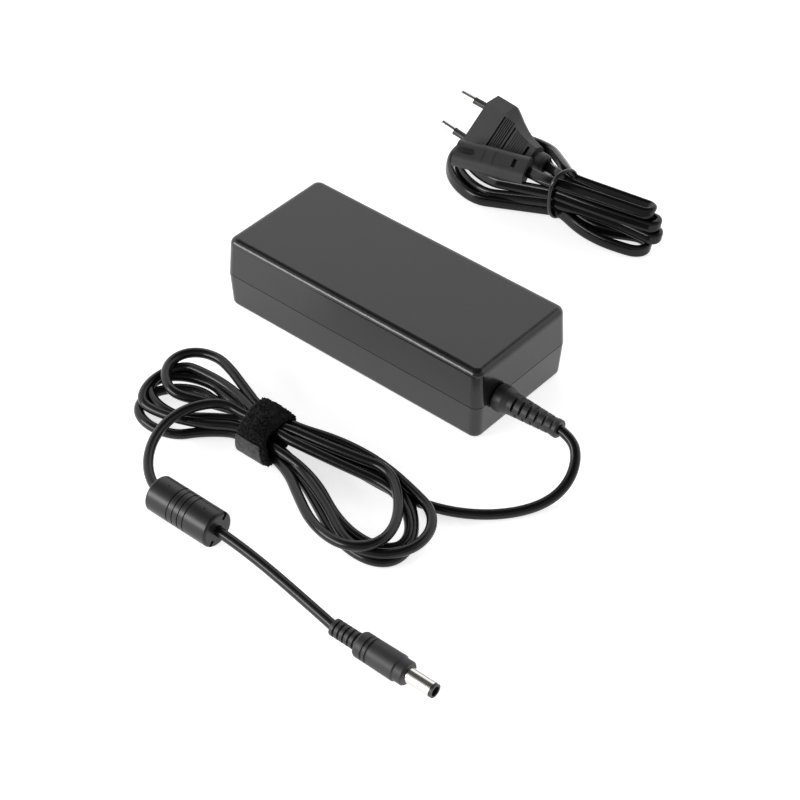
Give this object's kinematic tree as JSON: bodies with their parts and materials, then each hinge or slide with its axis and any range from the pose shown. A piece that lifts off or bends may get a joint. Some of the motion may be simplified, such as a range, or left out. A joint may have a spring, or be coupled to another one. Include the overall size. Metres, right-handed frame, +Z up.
{
  "type": "laptop power adapter",
  "caption": "Laptop power adapter brick with a captive strapped low-voltage cord, ferrite bead and barrel plug, and a loose tied mains lead.",
  "frame": {"origin": "centre of the brick's bottom face", "axes": "+X along the brick towards the low-voltage cord, +Y away from the hank of that cord, +Z up"},
  "size_m": [0.2303, 0.3169, 0.0373],
  "materials": {
    "case_plastic": "satin moulded black plastic with a very fine grain",
    "inlet_plastic": "matte black",
    "inlet_metal": "nickel plated",
    "board": "tan paper laminate",
    "sheet_plastic": "thin white film",
    "aluminium_sheet": "mill finish",
    "ceramic": "dipped coating",
    "film_capacitor": "yellow box",
    "ferrite": "sintered dark grey",
    "copper_wire": "enamelled copper",
    "tape": "yellow polyester tape",
    "package_plastic": "moulded epoxy",
    "capacitor_sleeve": "dark shrink sleeve",
    "wire_insulation": "insulated wire",
    "cord_rubber": "satin black PVC jacket",
    "moulded_rubber": "soft black overmould",
    "hook_loop_fabric": "black hook-and-loop band",
    "ferrite_case_plastic": "satin black shell",
    "nickel": "bright nickel plate",
    "black_insulator": "black insulating plastic",
    "mains_plug_plastic": "fine-grained black PVC",
    "mains_cord_rubber": "glossy flat black PVC jacket",
    "tie_plastic": "plastic-covered wire"
  },
  "bodies": {
    "root": {"top_cover": "case_plastic", "bottom_cover": "case_plastic", "inlet_housing": "inlet_plastic", "inlet_pin_live": "inlet_metal", "inlet_pin_neutral": "inlet_metal", "inlet_wires": "wire_insulation", "circuit_board": "board", "insulating_sheet": "sheet_plastic", "heat_spreader": "aluminium_sheet", "fuse": "ceramic", "thermistor": "ceramic", "x_capacitor": "film_capacitor", "common_mode_choke_core": "ferrite", "common_mode_choke_winding": "copper_wire", "bridge_rectifier": "package_plastic", "bulk_capacitor": "capacitor_sleeve", "primary_heat_sink": "aluminium_sheet", "switching_transistor": "package_plastic", "transformer_core": "ferrite", "transformer_winding": "tape", "y_capacitor": "ceramic", "optocoupler": "package_plastic", "controller_chip": "package_plastic", "secondary_heat_sink": "aluminium_sheet", "output_rectifier": "package_plastic", "output_capacitor_a": "capacitor_sleeve", "output_capacitor_b": "capacitor_sleeve", "output_choke": "copper_wire", "output_wires": "wire_insulation", "strain_relief": "moulded_rubber", "dc_cord_entry": "cord_rubber", "dc_cord_lead": "cord_rubber", "dc_cord_hank": "cord_rubber", "cable_strap": "hook_loop_fabric", "dc_cord_tail": "cord_rubber", "ferrite_case_upper": "ferrite_case_plastic", "ferrite_case_lower": "ferrite_case_plastic", "ferrite_core": "ferrite", "dc_cord_in_ferrite": "cord_rubber", "dc_cord_straight": "cord_rubber", "dc_plug_body": "moulded_rubber", "dc_plug_barrel": "nickel", "dc_plug_tip_ring": "black_insulator", "dc_plug_inner_contact": "nickel", "dc_plug_centre_pin": "nickel"},
    "mains_lead": {"mains_plug_body": "mains_plug_plastic", "mains_pin_live": "nickel", "mains_pin_neutral": "nickel", "mains_pin_sleeves": "black_insulator", "c7_connector_body": "mains_plug_plastic", "c7_contacts": "nickel", "mains_cord_to_plug": "mains_cord_rubber", "mains_cord_to_connector": "mains_cord_rubber", "mains_cord_hank": "mains_cord_rubber", "wire_tie": "tie_plastic"}
  },
  "joints": [
    {"name": "mains_lead_lift", "type": "slide", "parent": "root", "child": "mains_lead", "axis": [0, 0, 1], "range_m": [0, 0.12]}
  ]
}
